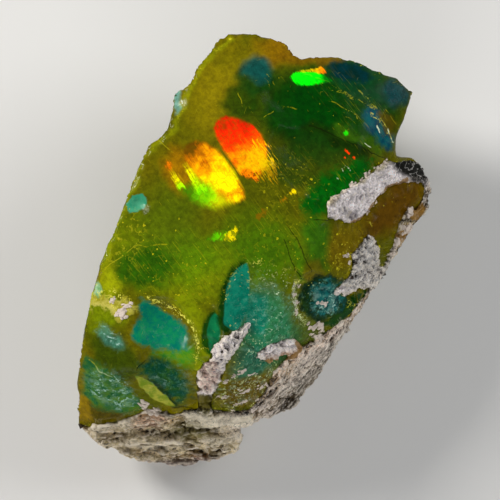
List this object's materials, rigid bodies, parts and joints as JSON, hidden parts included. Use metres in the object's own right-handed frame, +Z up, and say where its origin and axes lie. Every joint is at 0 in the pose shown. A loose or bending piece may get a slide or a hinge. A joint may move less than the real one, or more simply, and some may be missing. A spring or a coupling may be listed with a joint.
{
  "type": "rough opal stone",
  "caption": "Broken piece of see-through rough precious opal with chipped, scalloped faces, flashes of spectral colour inside and a chalky host-rock rind on its foot and flank.",
  "frame": {"origin": "middle of the bounding box at floor level, under the stone as it lies on its back", "axes": "+Z up out of the broad clear face, +Y along the stone to its narrow end, +X to the side with the rind"},
  "size_m": [0.0262, 0.032, 0.0138],
  "materials": {
    "opal": "see-through olive amber, glossy fracture faces",
    "host_rock": "matt, chalky, pitted and layered"
  },
  "bodies": {
    "root": {"opal": "opal", "host_rock": "host_rock"}
  },
  "joints": []
}
